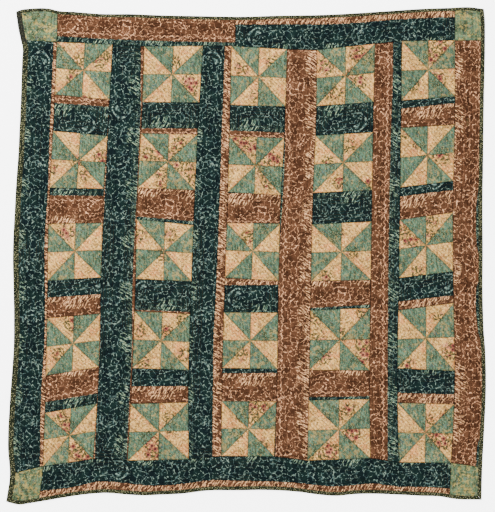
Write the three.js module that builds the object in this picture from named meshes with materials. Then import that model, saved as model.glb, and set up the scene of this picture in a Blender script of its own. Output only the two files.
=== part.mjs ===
// An antique pinwheel quilt, in millimetres, lying flat with its pieced face up (+Z).
// Five columns of five blocks stand between upright sashes, inside four borders with
// corner squares, and a folded binding covers the raw edge.
// The tables measure across from the left and down from the head of the quilt.

import * as THREE from "three";

// Cloth and padding
const BINDING_CLOTH = 1;
const CLEARANCE = 0.3;
const RIM_THICKNESS = 3;
const SEAM_HEIGHT = 4.2;
const PUFF = 2.2;
const PUFF_REACH = 30;
const UNEVENNESS = 0.25;
const RIPPLE_LENGTH = { x: 310, y: 270 };
const RIPPLE_WANDER = 2;
const UNDERSIDE_SLOPE = 6;
const FOLD_CHAMFER = 1.3;
const MITRE_GAP = 0.25;
const TUCK = 1;

// Where the lines of the mesh cross the left or head border, a sash, half a block and
// the right or foot border
const FIRST_BORDER_SHARES = [0, 0.33, 0.86];
const SASH_SHARES = [0, 0.17, 0.83];
const BLOCK_SHARES = [0, 0.15, 0.5, 0.85];
const LAST_BORDER_SHARES = [0, 0.14, 0.67];

// Viewing colours
const COTTON_COLOR = 0x5f5a4c;
const BINDING_COLOR = 0x55553a;
const ROUGHNESS = 0.95;

// How wide the binding shows on each side
const bindingWidth = { top: 15, right: 19, bottom: 18, left: 25 };

// The corners of the quilt
const corners = {
  headLeft: { across: 45, down: 22 },
  headRight: { across: 2150, down: 9 },
  footRight: { across: 2140, down: 2217 },
  footLeft: { across: 1, down: 2225 },
};

// How far down the head edge lies, from left to right
const headEdge = [
  { across: 45, down: 22 },
  { across: 68, down: 13 },
  { across: 108, down: 8 },
  { across: 153, down: 5 },
  { across: 198, down: 8 },
  { across: 234, down: 17 },
  { across: 310, down: 22 },
  { across: 423, down: 31 },
  { across: 558, down: 32 },
  { across: 716, down: 38 },
  { across: 873, down: 41 },
  { across: 1053, down: 44 },
  { across: 1233, down: 39 },
  { across: 1413, down: 36 },
  { across: 1593, down: 27 },
  { across: 1728, down: 18 },
  { across: 1863, down: 9 },
  { across: 1998, down: 4 },
  { across: 2088, down: 1 },
  { across: 2150, down: 9 },
];

// How far down the foot edge lies, from left to right
const footEdge = [
  { across: 1, down: 2225 },
  { across: 30, down: 2234 },
  { across: 58, down: 2239 },
  { across: 108, down: 2233 },
  { across: 162, down: 2224 },
  { across: 256, down: 2208 },
  { across: 351, down: 2194 },
  { across: 445, down: 2187 },
  { across: 558, down: 2195 },
  { across: 620, down: 2198 },
  { across: 693, down: 2195 },
  { across: 783, down: 2191 },
  { across: 900, down: 2177 },
  { across: 1053, down: 2175 },
  { across: 1188, down: 2174 },
  { across: 1323, down: 2183 },
  { across: 1413, down: 2195 },
  { across: 1480, down: 2200 },
  { across: 1575, down: 2192 },
  { across: 1773, down: 2195 },
  { across: 1863, down: 2200 },
  { across: 1953, down: 2203 },
  { across: 2020, down: 2214 },
  { across: 2140, down: 2217 },
];

// How far across the left edge lies, from the head to the foot
const leftEdge = [
  { down: 22, across: 45 },
  { down: 58, across: 50 },
  { down: 104, across: 57 },
  { down: 148, across: 67 },
  { down: 185, across: 75 },
  { down: 238, across: 73 },
  { down: 441, across: 66 },
  { down: 549, across: 61 },
  { down: 652, across: 56 },
  { down: 828, across: 44 },
  { down: 927, across: 39 },
  { down: 1017, across: 34 },
  { down: 1120, across: 31 },
  { down: 1265, across: 34 },
  { down: 1404, across: 36 },
  { down: 1548, across: 34 },
  { down: 1633, across: 28 },
  { down: 1785, across: 17 },
  { down: 1980, across: 9 },
  { down: 2115, across: 17 },
  { down: 2225, across: 1 },
];

// How far across the right edge lies, from the head to the foot
const rightEdge = [
  { down: 9, across: 2150 },
  { down: 58, across: 2155 },
  { down: 126, across: 2156 },
  { down: 238, across: 2155 },
  { down: 419, across: 2151 },
  { down: 733, across: 2147 },
  { down: 869, across: 2145 },
  { down: 1121, across: 2146 },
  { down: 1274, across: 2145 },
  { down: 1364, across: 2147 },
  { down: 1454, across: 2150 },
  { down: 1544, across: 2157 },
  { down: 1724, across: 2160 },
  { down: 1904, across: 2152 },
  { down: 2084, across: 2143 },
  { down: 2217, across: 2140 },
];

// How far across each column's two upright seams lie, at six heights down the quilt
const columnSeams = [
  { down: 171, across: [230, 479, 623, 887, 1015, 1265, 1400, 1660, 1782, 2020] },
  { down: 486, across: [216, 462, 612, 866, 1008, 1256, 1396, 1653, 1778, 2020] },
  { down: 900, across: [194, 437, 590, 847, 997, 1235, 1379, 1646, 1773, 2010] },
  { down: 1296, across: [187, 426, 582, 832, 983, 1225, 1372, 1640, 1767, 2013] },
  { down: 1714, across: [179, 414, 565, 820, 972, 1219, 1364, 1635, 1761, 2019] },
  { down: 2048, across: [168, 392, 548, 823, 969, 1205, 1356, 1640, 1768, 2002] },
];

// How far down the corners of each block lie, column by column from the head
const blocks = [
  [
    { headLeft: 158, headRight: 169, footLeft: 394, footRight: 418 },
    { headLeft: 558, headRight: 580, footLeft: 814, footRight: 818 },
    { headLeft: 976, headRight: 972, footLeft: 1232, footRight: 1216 },
    { headLeft: 1400, headRight: 1380, footLeft: 1658, footRight: 1620 },
    { headLeft: 1827, headRight: 1784, footLeft: 2066, footRight: 2033 },
  ],
  [
    { headLeft: 178, headRight: 176, footLeft: 428, footRight: 430 },
    { headLeft: 569, headRight: 574, footLeft: 814, footRight: 824 },
    { headLeft: 955, headRight: 982, footLeft: 1223, footRight: 1235 },
    { headLeft: 1368, headRight: 1382, footLeft: 1624, footRight: 1634 },
    { headLeft: 1786, headRight: 1779, footLeft: 2040, footRight: 2035 },
  ],
  [
    { headLeft: 176, headRight: 191, footLeft: 441, footRight: 448 },
    { headLeft: 583, headRight: 590, footLeft: 833, footRight: 847 },
    { headLeft: 972, headRight: 975, footLeft: 1218, footRight: 1232 },
    { headLeft: 1374, headRight: 1376, footLeft: 1624, footRight: 1629 },
    { headLeft: 1774, headRight: 1775, footLeft: 2020, footRight: 2022 },
  ],
  [
    { headLeft: 194, headRight: 166, footLeft: 446, footRight: 428 },
    { headLeft: 579, headRight: 564, footLeft: 837, footRight: 824 },
    { headLeft: 978, headRight: 966, footLeft: 1233, footRight: 1228 },
    { headLeft: 1365, headRight: 1354, footLeft: 1633, footRight: 1635 },
    { headLeft: 1769, headRight: 1765, footLeft: 2040, footRight: 2030 },
  ],
  [
    { headLeft: 153, headRight: 151, footLeft: 421, footRight: 403 },
    { headLeft: 544, headRight: 530, footLeft: 812, footRight: 783 },
    { headLeft: 958, headRight: 925, footLeft: 1219, footRight: 1190 },
    { headLeft: 1365, headRight: 1332, footLeft: 1625, footRight: 1638 },
    { headLeft: 1781, headRight: 1787, footLeft: 2048, footRight: 2051 },
  ],
];

// How far each corner square's seams have drifted where they meet the binding
const cornerDrift = {
  headLeft: { across: 2, down: -9 },
  headRight: { across: 0, down: 0 },
  footLeft: { across: -18, down: 31 },
  footRight: { across: -5, down: 18 },
};

// A smooth function through the rows of a table
function smooth(rows, from, to) {
  const places = Float64Array.from(rows, (row) => row[from]);
  const values = Float64Array.from(rows, (row) => row[to]);
  const curve = new THREE.CubicInterpolant(places, values, 1);
  const [low, high] = [places[0], places[places.length - 1]];
  return (place) => curve.evaluate(THREE.MathUtils.clamp(place, low, high))[0];
}

const headAt = smooth(headEdge, "across", "down");
const footAt = smooth(footEdge, "across", "down");
const leftAt = smooth(leftEdge, "down", "across");
const rightAt = smooth(rightEdge, "down", "across");
const seamAt = columnSeams[0].across.map((_, seam) =>
  smooth(columnSeams.map(({ down, across }) => ({ down, across: across[seam] })), "down", "across"),
);

// The layout has a cell for each border, sash and half block, with numbered lines
// between them: each block has a first line, a middle line and a last line.
const BLOCK_LINES = 3;
const CELLS = BLOCK_LINES * blocks.length + 1;
const LAST = CELLS - 1;
const isStrip = (cell) => cell % BLOCK_LINES === 0;
const isMiddle = (line) => line % BLOCK_LINES === 2;
const isRim = (line) => line === 0 || line === CELLS;
const blockLine = (line) => [Math.floor((line - 1) / BLOCK_LINES), (line - 1) % BLOCK_LINES];

// A corner of the layout inside the borders
function blockPoint(line, row) {
  const [column, side] = blockLine(line);
  const [block, level] = blockLine(row);
  const { headLeft, headRight, footLeft, footRight } = blocks[column][block];
  const leftDown = THREE.MathUtils.lerp(headLeft, footLeft, level / 2);
  const rightDown = THREE.MathUtils.lerp(headRight, footRight, level / 2);
  const left = new THREE.Vector2(seamAt[2 * column](leftDown), leftDown);
  const right = new THREE.Vector2(seamAt[2 * column + 1](rightDown), rightDown);
  return left.lerp(right, side / 2);
}

// Where the lines of the layout meet one side of the quilt, from corner to corner
function meetings(direction, [from, to], point) {
  const coordinate = { across: "x", down: "y" }[direction];
  const inside = Array.from({ length: CELLS - 1 }, (_, index) => point(index + 1)[coordinate]);
  inside[0] += cornerDrift[from][direction];
  inside[inside.length - 1] += cornerDrift[to][direction];
  return [corners[from][direction], ...inside, corners[to][direction]];
}
const sides = {
  top: meetings("across", ["headLeft", "headRight"], (line) => blockPoint(line, 1)),
  bottom: meetings("across", ["footLeft", "footRight"], (line) => blockPoint(line, LAST)),
  left: meetings("down", ["headLeft", "footLeft"], (row) => blockPoint(1, row)),
  right: meetings("down", ["headRight", "footRight"], (row) => blockPoint(LAST, row)),
};

// The fine lines of the mesh, the same both ways
const fine = [];
const fineStart = [];
function sharesOf(cell) {
  if (cell === 0) return FIRST_BORDER_SHARES;
  if (cell === LAST) return LAST_BORDER_SHARES;
  return isStrip(cell) ? SASH_SHARES : BLOCK_SHARES;
}
for (let cell = 0; cell < CELLS; cell++) {
  fineStart.push(fine.length);
  for (const share of sharesOf(cell)) fine.push({ cell, share });
}
fineStart.push(fine.length);
fine.push({ cell: LAST, share: 1 });
const SIDE_STEPS = fine.length - 1;

// The outer edge as one loop, clockwise from the head's left corner
const place = (side, { cell, share }) =>
  THREE.MathUtils.lerp(sides[side][cell], sides[side][cell + 1], share);
const forward = fine.slice(0, SIDE_STEPS);
const backward = fine.slice(1).reverse();
const edge = [
  ...forward.map((at) => place("top", at)).map((x) => new THREE.Vector2(x, headAt(x))),
  ...forward.map((at) => place("right", at)).map((y) => new THREE.Vector2(rightAt(y), y)),
  ...backward.map((at) => place("bottom", at)).map((x) => new THREE.Vector2(x, footAt(x))),
  ...backward.map((at) => place("left", at)).map((y) => new THREE.Vector2(leftAt(y), y)),
];

// The finished frame: the origin under the middle of the quilt, +Y towards the head
const middle = new THREE.Box2().setFromPoints(edge).getCenter(new THREE.Vector2());
const toFrame = (point) => new THREE.Vector2(point.x - middle.x, middle.y - point.y);
const outline = edge.map(toFrame);
const sideNames = ["top", "right", "bottom", "left"];
const sideOf = (index) => sideNames[Math.floor(index / SIDE_STEPS) % sideNames.length];
const wrap = (index) => (index + outline.length) % outline.length;

// The edge moved inwards by a distance for each side, with mitred corners
function loopAt(distance) {
  const inward = outline.map((point, index) => {
    const along = outline[wrap(index + 1)].clone().sub(point).normalize();
    return new THREE.Vector2(along.y, -along.x);
  });
  return outline.map((point, index) => {
    const before = inward[wrap(index - 1)];
    const after = inward[index];
    const [one, two] = [distance[sideOf(wrap(index - 1))], distance[sideOf(index)]];
    const turn = before.dot(after);
    if (one === two) {
      return before.clone().add(after).multiplyScalar(one / (1 + turn)).add(point);
    }
    const spread = 1 - turn * turn;
    return point.clone()
      .addScaledVector(before, (one - two * turn) / spread)
      .addScaledVector(after, (two - one * turn) / spread);
  });
}
const eachSide = (rule) => Object.fromEntries(sideNames.map((side) => [side, rule(side)]));
const pastBinding = (extra) => eachSide((side) => bindingWidth[side] + extra);
const allSides = (distance) => eachSide(() => distance);

// The ring where the patchwork comes out from under the binding
const faceRing = loopAt(pastBinding(TUCK));
const ringIndex = {
  top: (index) => index,
  right: (index) => SIDE_STEPS + index,
  bottom: (index) => 3 * SIDE_STEPS - index,
  left: (index) => wrap(4 * SIDE_STEPS - index),
};
const onRing = (side, index) => faceRing[ringIndex[side](index)];

// A corner of the layout, on the ring or inside it
function layoutPoint(line, row) {
  if (row === 0) return onRing("top", fineStart[line]);
  if (row === CELLS) return onRing("bottom", fineStart[line]);
  if (line === 0) return onRing("left", fineStart[row]);
  if (line === CELLS) return onRing("right", fineStart[row]);
  return toFrame(blockPoint(line, row));
}
const between = (from, to, share) => from.clone().lerp(to, share);

// A point of the fine mesh, blended from the four edges of its cell
function facePoint(a, b) {
  const { cell: i, share: u } = fine[a];
  const { cell: j, share: v } = fine[b];
  const [p00, p10] = [layoutPoint(i, j), layoutPoint(i + 1, j)];
  const [p01, p11] = [layoutPoint(i, j + 1), layoutPoint(i + 1, j + 1)];
  const head = j === 0 ? onRing("top", a) : between(p00, p10, u);
  const foot = j + 1 === CELLS ? onRing("bottom", a) : between(p01, p11, u);
  const left = i === 0 ? onRing("left", b) : between(p00, p01, v);
  const right = i + 1 === CELLS ? onRing("right", b) : between(p10, p11, v);
  const flat = between(between(p00, p10, u), between(p01, p11, u), v);
  return between(head, foot, v).add(between(left, right, u)).sub(flat);
}

// The seams: across and down the layout, and from each block's middle to its corners
function uprightSeam(line, cell) {
  if (isRim(line)) return false;
  if (cell === 0 || cell === LAST) return line === 1 || line === LAST;
  return !(isMiddle(line) && isStrip(cell));
}
function levelSeam(row, cell) {
  if (isRim(row)) return false;
  if (row === 1 || row === LAST) return true;
  return !isStrip(cell);
}
const slopesDown = (i, j) => i % BLOCK_LINES === j % BLOCK_LINES;
const seams = faceRing.map((point, index) => [point, faceRing[wrap(index + 1)]]);
for (let i = 0; i < CELLS; i++) {
  for (let j = 0; j < CELLS; j++) {
    const [p00, p10] = [layoutPoint(i, j), layoutPoint(i + 1, j)];
    const [p01, p11] = [layoutPoint(i, j + 1), layoutPoint(i + 1, j + 1)];
    if (uprightSeam(i, j)) seams.push([p00, p01]);
    if (levelSeam(j, i)) seams.push([p00, p10]);
    if (!isStrip(i) && !isStrip(j)) seams.push(slopesDown(i, j) ? [p00, p11] : [p10, p01]);
  }
}

// How high the face stands: low along a seam, and full in the middle of a patch
function faceHeight(point) {
  const nearest = seams.reduce((least, [from, to]) => {
    const along = to.clone().sub(from);
    const share = THREE.MathUtils.clamp(point.clone().sub(from).dot(along) / along.lengthSq(), 0, 1);
    return Math.min(least, from.clone().addScaledVector(along, share).distanceTo(point));
  }, Infinity);
  const crown = Math.sin((Math.PI / 2) * Math.min(1, nearest / PUFF_REACH));
  const wander = RIPPLE_WANDER * Math.sin(point.y / RIPPLE_LENGTH.y);
  const ripple = Math.sin(point.x / RIPPLE_LENGTH.x + wander);
  return SEAM_HEIGHT + PUFF * crown * (1 + UNEVENNESS * ripple);
}

// Faces gathered into one closed mesh
function solid(name, color, faces) {
  const positions = faces.flat().flatMap(({ x, y, z }) => [x, y, z]);
  const geometry = new THREE.BufferGeometry();
  geometry.setAttribute("position", new THREE.Float32BufferAttribute(positions, 3));
  geometry.computeVertexNormals();
  const material = new THREE.MeshStandardMaterial({ color, roughness: ROUGHNESS, metalness: 0 });
  const mesh = new THREE.Mesh(geometry, material);
  mesh.name = name;
  return mesh;
}
const quad = (a, b, c, d) => [[a, b, c], [a, c, d]];
const raise = (points, height) => points.map(({ x, y }) => new THREE.Vector3(x, y, height));

// Triangles that fill a flat outline, each anticlockwise
function fill(points) {
  return THREE.ShapeUtils.triangulateShape(points, []).map(([a, b, c]) => {
    const area = THREE.ShapeUtils.area([points[a], points[b], points[c]]);
    return area > 0 ? [a, b, c] : [a, c, b];
  });
}

// Quilted panel: the pieced face, the padding and the back as one filled body
const rimBottom = BINDING_CLOTH + CLEARANCE;
const rimTop = rimBottom + RIM_THICKNESS;

// Whether a cell of the fine mesh lies on the slanting seam of its half block
function onDiagonal(a, b) {
  const [i, j] = [fine[a].cell, fine[b].cell];
  if (isStrip(i) || isStrip(j)) return false;
  const [stepA, stepB] = [a - fineStart[i], b - fineStart[j]];
  return slopesDown(i, j) ? stepA === stepB : stepA + stepB === BLOCK_SHARES.length - 1;
}

function quiltPanel() {
  const face = fine.map((_, a) =>
    fine.map((_, b) => {
      const point = facePoint(a, b);
      const atRing = a === 0 || b === 0 || a === SIDE_STEPS || b === SIDE_STEPS;
      return new THREE.Vector3(point.x, point.y, atRing ? rimTop : faceHeight(point));
    }),
  );
  const faces = [];
  for (let a = 0; a < SIDE_STEPS; a++) {
    for (let b = 0; b < SIDE_STEPS; b++) {
      const [p00, p10, p01, p11] = [face[a][b], face[a + 1][b], face[a][b + 1], face[a + 1][b + 1]];
      const splitsDown = onDiagonal(a, b)
        ? slopesDown(fine[a].cell, fine[b].cell)
        : p00.z + p11.z > p10.z + p01.z;
      faces.push(...(splitsDown ? quad(p00, p01, p11, p10) : quad(p10, p00, p01, p11)));
    }
  }
  const wall = loopAt(allSides(BINDING_CLOTH + CLEARANCE));
  const rest = loopAt(pastBinding(TUCK + UNDERSIDE_SLOPE));
  const ringFace = faceRing.map((_, index) => {
    const side = sideOf(index);
    const step = index % SIDE_STEPS;
    const at = {
      top: () => face[step][0],
      right: () => face[SIDE_STEPS][step],
      bottom: () => face[SIDE_STEPS - step][SIDE_STEPS],
      left: () => face[0][SIDE_STEPS - step],
    };
    return at[side]();
  });
  const rings = [
    ringFace,
    raise(wall, rimTop),
    raise(wall, rimBottom),
    raise(faceRing, rimBottom),
    raise(rest, 0),
  ];
  for (let ring = 0; ring + 1 < rings.length; ring++) {
    const [from, to] = [rings[ring], rings[ring + 1]];
    from.forEach((point, index) => {
      faces.push(...quad(point, from[wrap(index + 1)], to[wrap(index + 1)], to[index]));
    });
  }
  const underside = rings[rings.length - 1];
  fill(rest).forEach(([a, b, c]) => faces.push([underside[a], underside[c], underside[b]]));
  return solid("quilt_panel", COTTON_COLOR, faces);
}

// Binding strips: each folded round the raw edge, with mitred ends
const upperLeg = rimTop + CLEARANCE;
const bindingTop = upperLeg + BINDING_CLOTH;
const foldSection = (width) => [
  { inward: width, height: 0 },
  { inward: FOLD_CHAMFER, height: 0 },
  { inward: 0, height: FOLD_CHAMFER },
  { inward: 0, height: bindingTop - FOLD_CHAMFER },
  { inward: FOLD_CHAMFER, height: bindingTop },
  { inward: width, height: bindingTop },
  { inward: width, height: upperLeg },
  { inward: BINDING_CLOTH, height: upperLeg },
  { inward: BINDING_CLOTH, height: BINDING_CLOTH },
  { inward: width, height: BINDING_CLOTH },
];
const sections = eachSide((side) => foldSection(bindingWidth[side]));
const foldLines = sections.top.map(({ height }, corner) => ({
  loop: loopAt(eachSide((side) => sections[side][corner].inward)),
  height,
}));

function bindingStrip(side, sideNumber) {
  const stations = [];
  for (let step = 0; step <= SIDE_STEPS; step++) {
    const index = sideNumber * SIDE_STEPS + step;
    const towards = { 0: 1, [SIDE_STEPS]: -1 }[step];
    stations.push(
      foldLines.map(({ loop, height }) => {
        const point = loop[wrap(index)].clone();
        if (towards) {
          const along = loop[wrap(index + towards)].clone().sub(point).normalize();
          point.addScaledVector(along, MITRE_GAP);
        }
        return new THREE.Vector3(point.x, point.y, height);
      }),
    );
  }
  const faces = [];
  for (let step = 0; step < SIDE_STEPS; step++) {
    const [here, next] = [stations[step], stations[step + 1]];
    here.forEach((point, corner) => {
      const after = (corner + 1) % here.length;
      faces.push(...quad(point, here[after], next[after], next[corner]));
    });
  }
  const [start, end] = [stations[0], stations[SIDE_STEPS]];
  fill(sections[side].map(({ inward, height }) => new THREE.Vector2(inward, height))).forEach(
    ([a, b, c]) => faces.push([start[a], start[b], start[c]], [end[a], end[c], end[b]]),
  );
  return solid(`binding_${side}`, BINDING_COLOR, faces);
}

const quilt = new THREE.Group();
quilt.add(quiltPanel());
sideNames.forEach((side, number) => quilt.add(bindingStrip(side, number)));

export default quilt;
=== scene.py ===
import bmesh
import bpy
import math
import numpy as np
from mathutils import Matrix, Vector, noise


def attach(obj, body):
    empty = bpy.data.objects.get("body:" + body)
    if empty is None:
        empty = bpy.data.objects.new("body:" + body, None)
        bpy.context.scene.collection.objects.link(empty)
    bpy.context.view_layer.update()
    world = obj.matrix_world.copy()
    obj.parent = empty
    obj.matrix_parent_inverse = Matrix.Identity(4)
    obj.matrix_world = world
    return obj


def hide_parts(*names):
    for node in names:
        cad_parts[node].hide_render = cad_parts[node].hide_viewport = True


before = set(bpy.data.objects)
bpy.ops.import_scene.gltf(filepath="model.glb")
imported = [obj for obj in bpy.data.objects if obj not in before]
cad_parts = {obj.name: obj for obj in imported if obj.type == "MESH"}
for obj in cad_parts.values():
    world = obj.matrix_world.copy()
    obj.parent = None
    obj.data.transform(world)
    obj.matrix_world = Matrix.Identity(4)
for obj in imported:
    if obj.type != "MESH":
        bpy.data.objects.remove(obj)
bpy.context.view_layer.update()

# Green pinwheel triangles
# Sage cotton triangles, four in each of the 25 pinwheel blocks, with a small mottled print.
# They are sewn edge to edge with the cream ones, so the layout of the whole top stands here.
# The tables measure across from the left and down from the head, in millimetres.
MM = 0.001
SHEET_MIDDLE = (1080.609, 1120.071)

head_edge = [
    (45, 22), (68, 13), (108, 8), (153, 5), (198, 8), (234, 17), (310, 22), (423, 31),
    (558, 32), (716, 38), (873, 41), (1053, 44), (1233, 39), (1413, 36), (1593, 27),
    (1728, 18), (1863, 9), (1998, 4), (2088, 1), (2150, 9),
]
foot_edge = [
    (1, 2225), (30, 2234), (58, 2239), (108, 2233), (162, 2224), (256, 2208), (351, 2194),
    (445, 2187), (558, 2195), (620, 2198), (693, 2195), (783, 2191), (900, 2177),
    (1053, 2175), (1188, 2174), (1323, 2183), (1413, 2195), (1480, 2200), (1575, 2192),
    (1773, 2195), (1863, 2200), (1953, 2203), (2020, 2214), (2140, 2217),
]
left_edge = [
    (22, 45), (58, 50), (104, 57), (148, 67), (185, 75), (238, 73), (441, 66), (549, 61),
    (652, 56), (828, 44), (927, 39), (1017, 34), (1120, 31), (1265, 34), (1404, 36),
    (1548, 34), (1633, 28), (1785, 17), (1980, 9), (2115, 17), (2225, 1),
]
right_edge = [
    (9, 2150), (58, 2155), (126, 2156), (238, 2155), (419, 2151), (733, 2147), (869, 2145),
    (1121, 2146), (1274, 2145), (1364, 2147), (1454, 2150), (1544, 2157), (1724, 2160),
    (1904, 2152), (2084, 2143), (2217, 2140),
]
# The upright seams on both sides of each column of blocks, at six heights down the quilt
seam_heights = [171, 486, 900, 1296, 1714, 2048]
column_seams = [
    (230, 216, 194, 187, 179, 168), (479, 462, 437, 426, 414, 392),
    (623, 612, 590, 582, 565, 548), (887, 866, 847, 832, 820, 823),
    (1015, 1008, 997, 983, 972, 969), (1265, 1256, 1235, 1225, 1219, 1205),
    (1400, 1396, 1379, 1372, 1364, 1356), (1660, 1653, 1646, 1640, 1635, 1640),
    (1782, 1778, 1773, 1767, 1761, 1768), (2020, 2020, 2010, 2013, 2019, 2002),
]
# How far down each block's corners lie: head left, head right, foot left, foot right
block_corners = [
    [(158, 169, 394, 418), (558, 580, 814, 818), (976, 972, 1232, 1216),
     (1400, 1380, 1658, 1620), (1827, 1784, 2066, 2033)],
    [(178, 176, 428, 430), (569, 574, 814, 824), (955, 982, 1223, 1235),
     (1368, 1382, 1624, 1634), (1786, 1779, 2040, 2035)],
    [(176, 191, 441, 448), (583, 590, 833, 847), (972, 975, 1218, 1232),
     (1374, 1376, 1624, 1629), (1774, 1775, 2020, 2022)],
    [(194, 166, 446, 428), (579, 564, 837, 824), (978, 966, 1233, 1228),
     (1365, 1354, 1633, 1635), (1769, 1765, 2040, 2030)],
    [(153, 151, 421, 403), (544, 530, 812, 783), (958, 925, 1219, 1190),
     (1365, 1332, 1625, 1638), (1781, 1787, 2048, 2051)],
]


def smooth(rows):
    """The second column of a table as a smooth function of the first."""
    places, values = np.array(rows, float).T
    slopes = np.gradient(values, places)

    def at(place):
        place = np.clip(place, places[0], places[-1])
        left = np.clip(np.searchsorted(places, place) - 1, 0, len(places) - 2)
        span = places[left + 1] - places[left]
        t = (place - places[left]) / span
        bend = t * (1 - t) * span
        level = values[left] + (values[left + 1] - values[left]) * t * t * (3 - 2 * t)
        return level + bend * ((1 - t) * slopes[left] - t * slopes[left + 1])

    return at


edge_at = {
    "head": smooth(head_edge), "foot": smooth(foot_edge),
    "left": smooth(left_edge), "right": smooth(right_edge),
}
seam_at = [smooth(list(zip(seam_heights, seam))) for seam in column_seams]
LAST_LINE = 15
END_LINE = 16


def block_point(line, row):
    """A corner of the blocks' layout, numbered across and down from the borders' seams."""
    column, side = divmod(line - 1, 3)
    block, level = divmod(row - 1, 3)
    head_left, head_right, foot_left, foot_right = block_corners[column][block]
    left_down = head_left + (foot_left - head_left) * level / 2
    right_down = head_right + (foot_right - head_right) * level / 2
    left = np.array([seam_at[2 * column](left_down), left_down])
    right = np.array([seam_at[2 * column + 1](right_down), right_down])
    return left + (right - left) * side / 2


def in_frame(points, heights):
    """Places across and down, in millimetres, with their heights, as points of the frame."""
    across, down = points[..., 0], points[..., 1]
    return np.stack([across - SHEET_MIDDLE[0], SHEET_MIDDLE[1] - down, heights], -1) * MM


SEAM_HEIGHT = 3.7
PUFF = 2.5
PUFF_REACH = 26.0
CROWN_ROUNDNESS = 0.8
GROOVE_DEPTH = 0.9
GROOVE_WIDTH = 2.6
PUCKER_DEPTH = 0.8
PUCKER_LENGTH = 12.0
PUCKER_WIDTH = 16.0
PUCKER_FIELD = 3.7
CALM_REACH = 5.0
RIPPLE_LENGTH = (310.0, 270.0)
UNEVENNESS = 0.25


def puffed(points, from_seam, to_line, along):
    """The height of padded cloth: sunk at seams and quilting lines, and puckered between."""
    right, below = (points - SHEET_MIDDLE).T / np.array(RIPPLE_LENGTH)[:, None]
    ripple = np.sin(right - 2 * np.sin(below))
    crown = np.sin(math.pi / 2 * np.clip(from_seam / PUFF_REACH, 0, 1)) ** CROWN_ROUNDNESS
    height = SEAM_HEIGHT + PUFF * crown * (1 + UNEVENNESS * ripple)
    calm = np.clip(from_seam / CALM_REACH, 0, 1)
    groove = GROOVE_DEPTH * np.exp(-((to_line / GROOVE_WIDTH) ** 2))
    pucker = [
        noise.noise(Vector((run / PUCKER_LENGTH, aside / PUCKER_WIDTH, PUCKER_FIELD)))
        for run, aside in zip(along, from_seam)
    ]
    return height + calm * (PUCKER_DEPTH * np.array(pucker) - groove)


TURNED_UNDER = 1.6


def cloth_layers(mesh):
    """The places on the cloth, and the attributes that a print and its quilting read."""
    return {
        "cloth": mesh.loops.layers.uv.new("cloth"),
        "tone": mesh.verts.layers.float.new("tone"),
        "spray": mesh.verts.layers.float.new("spray"),
        "stitching": mesh.verts.layers.float_vector.new("stitching"),
    }


def lay_patch(whole, patch, places, cloth, tone, spray, stitching):
    """Sets a patch's mesh at its places, gives it its thickness and adds it to the whole.

    stitching: distances from the seam and to a quilting line, and how far along the line.
    """
    layers = cloth_layers(patch)
    patch.verts.index_update()
    for vert, place, quilting, bloom in zip(patch.verts, places, stitching, spray):
        vert.co = place
        vert[layers["tone"]] = tone
        vert[layers["spray"]] = bloom
        vert[layers["stitching"]] = Vector(quilting) * MM
    for face in patch.faces:
        for loop in face.loops:
            loop[layers["cloth"]].uv = Vector(cloth[loop.vert.index]) * MM
    rim = [edge for edge in patch.edges if edge.is_boundary]
    lower = bmesh.ops.extrude_edge_only(patch, edges=rim)["geom"]
    for vert in lower:
        if isinstance(vert, bmesh.types.BMVert):
            vert.co.z = TURNED_UNDER * MM
    bmesh.ops.holes_fill(patch, edges=[edge for edge in patch.edges if edge.is_boundary])
    bmesh.ops.recalc_face_normals(patch, faces=patch.faces)
    sewn = bpy.data.meshes.new("sewn")
    patch.to_mesh(sewn)
    whole.from_mesh(sewn)
    bpy.data.meshes.remove(sewn)
    patch.free()


rng = np.random.default_rng(7)

# Where the larger sprays of the pieced cloths lie, across and down: leafy ones and rosy ones
leafy_places = [
    (207, 724), (360, 752), (300, 360), (330, 500), (248, 1843), (250, 660), (238, 1562),
    (270, 250), (245, 205), (330, 240), (420, 250), (440, 225), (300, 330), (350, 420), (300, 300),
    (640, 662), (688, 685), (816, 725), (837, 777), (699, 748), (704, 794), (420, 1130),
    (768, 651), (783, 605), (603, 1030), (742, 1030), (700, 1120), (760, 250), (830, 380),
    (603, 1456), (795, 1410), (726, 1461), (800, 1564), (619, 1599), (742, 1610),
    (740, 1850), (1160, 745), (1150, 700), (1200, 790), (1089, 1035), (1150, 1000),
    (1180, 790), (1130, 400), (1060, 280), (1200, 250), (1112, 1850), (1161, 1809),
    (1150, 1980), (1040, 1920), (1180, 1480), (1060, 1560), (1544, 626), (1629, 788),
    (1450, 700), (1500, 790), (1560, 300), (1460, 390), (1393, 1404), (1404, 1478),
    (1516, 1473), (1606, 1375), (1440, 1215), (1560, 1100), (1543, 1809), (1400, 2015),
    (1455, 1815), (1500, 1830), (1880, 230), (1830, 350), (1791, 567), (1860, 620),
    (1808, 1045), (1840, 1060), (1915, 959), (1899, 1028), (1952, 1028), (1851, 1188),
    (1804, 1606), (1950, 1400), (1980, 1840), (1900, 1860), (1930, 900), (320, 700),
    (1490, 387), (648, 1994), (740, 1890),
]
rosy_places = [
    (428, 680), (270, 1012), (270, 1883), (320, 1998), (364, 2026), (300, 1420), (757, 708),
    (700, 645), (652, 1958), (662, 2002), (1050, 615), (1084, 625), (1115, 630), (1200, 690),
    (1620, 230), (1425, 1570), (1611, 1513), (1606, 1581), (1480, 1020), (1554, 1923),
    (1461, 1998), (1940, 330), (1958, 670), (1776, 994), (2002, 1548), (1926, 1935), (1966, 1953),
    (1584, 212), (1436, 266), (1584, 338), (1953, 180), (1917, 216), (828, 342), (639, 1940),
    (1116, 1800), (1071, 1832),
]
SPRAY_REACH = 32.0
LEAFY = 1.0
ROSY = 2.0


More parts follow.
